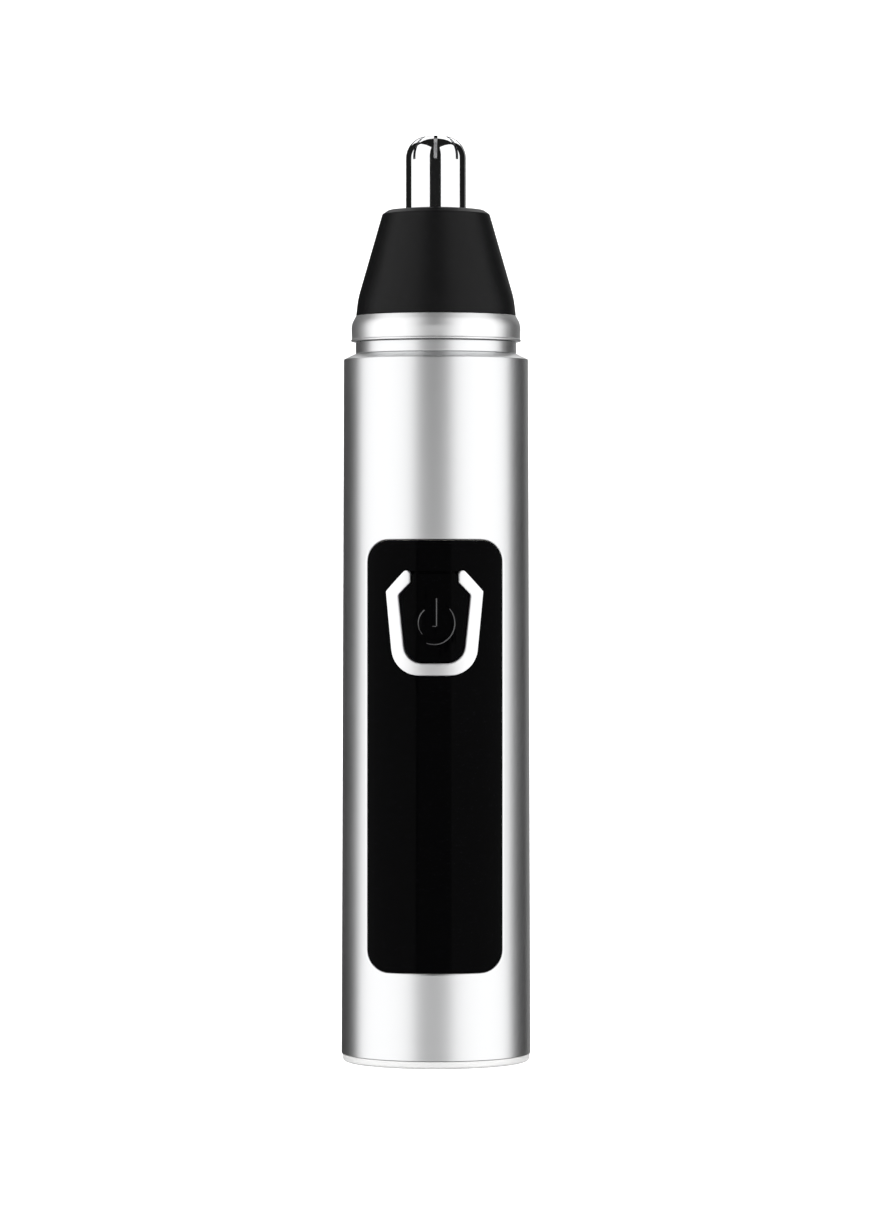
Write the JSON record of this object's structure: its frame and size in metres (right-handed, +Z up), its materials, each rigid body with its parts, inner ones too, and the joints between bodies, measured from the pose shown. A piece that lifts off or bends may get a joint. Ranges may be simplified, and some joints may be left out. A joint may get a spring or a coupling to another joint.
{
  "type": "nose hair trimmer",
  "caption": "Slim upright nose hair trimmer: silver tube with a gloss black front panel and push button, bright neck ring, black cone and slotted round cutter.",
  "frame": {"origin": "centre of the flat underside of the base cap, on the surface that the trimmer stands on", "axes": "+Z up along the tube's axis towards the cutter; the front panel and power button face -Y; +X is to the right when facing the panel"},
  "size_m": [0.027, 0.027, 0.1319],
  "materials": {
    "satin_silver": "fine satin",
    "pale_silver": "satin paint on moulded plastic",
    "bright_chrome": "polished",
    "cutter_steel": "mirror-polished stainless",
    "blade_steel": "ground stainless",
    "black_satin": "satin moulded",
    "gloss_black": "high gloss",
    "black_rubber": "matte",
    "screw_steel": "zinc plated",
    "frame_plastic": "moulded",
    "dark_plastic": "moulded",
    "white_plastic": "moulded",
    "motor_steel": "nickel-plated",
    "core_steel": "stacked steel",
    "magnet": "sintered ferrite",
    "spring_steel": "drawn wire",
    "bronze": "sintered",
    "copper": "bare copper",
    "nickel": "nickel strip",
    "board_green": "solder mask on glass fibre",
    "chip_black": "moulded",
    "cell_wrap": "shrink sleeve over a metal can",
    "wire_red": "insulation",
    "wire_black": "insulation"
  },
  "bodies": {
    "housing": {"body_tube": "satin_silver", "base_cap": "pale_silver", "base_screws": "screw_steel", "front_panel": "gloss_black", "u_trim": "bright_chrome", "neck_collar": "satin_silver", "collar_screws": "screw_steel", "neck_o_ring": "black_rubber", "motor_can": "motor_steel", "motor_magnets": "magnet", "motor_end_bell": "white_plastic", "front_bushing": "bronze", "rear_bushing": "bronze", "motor_brushes": "copper", "motor_damper": "black_rubber", "motor_mount": "dark_plastic", "frame_front": "frame_plastic", "frame_rear": "frame_plastic", "circuit_board": "board_green", "board_components": "chip_black", "board_screws": "screw_steel", "switch_body": "dark_plastic", "battery_cell": "cell_wrap", "battery_tabs": "nickel", "battery_foam": "black_rubber", "battery_wire_red": "wire_red", "battery_wire_black": "wire_black", "motor_wire_red": "wire_red", "motor_wire_black": "wire_black", "inlet_shell": "motor_steel", "inlet_tongue": "dark_plastic"},
    "head": {"head_cone": "black_satin", "head_ring": "bright_chrome", "outer_cutter": "cutter_steel", "cutter_retainer": "dark_plastic"},
    "rotor": {"inner_cutter": "blade_steel", "blade_spindle": "dark_plastic", "blade_spring": "spring_steel", "drive_coupling": "white_plastic", "motor_shaft": "motor_steel", "armature_core": "core_steel", "armature_windings": "copper", "commutator": "copper"},
    "power_button": {"power_button": "gloss_black"},
    "switch_plunger": {"switch_plunger": "white_plastic"}
  },
  "joints": [
    {"name": "rotor_spin", "type": "hinge", "parent": "housing", "child": "rotor", "pos_m": [0, 0, 0.1], "axis": [0, 0, 1], "continuous": true},
    {"name": "head_pull_off", "type": "slide", "parent": "housing", "child": "head", "axis": [0, 0, 1], "range_m": [0, 0.035]},
    {"name": "power_button_press", "type": "slide", "parent": "housing", "child": "power_button", "axis": [0, 1, 0], "range_m": [0, 0.0003], "stiffness_N_per_m": 4000, "springref_m": -0.0001},
    {"name": "switch_plunger_press", "type": "slide", "parent": "housing", "child": "switch_plunger", "axis": [0, 1, 0], "range_m": [0, 0.0003]}
  ],
  "couplings": [
    {"joint": "switch_plunger_press", "follows": "power_button_press", "ratio": 1}
  ]
}
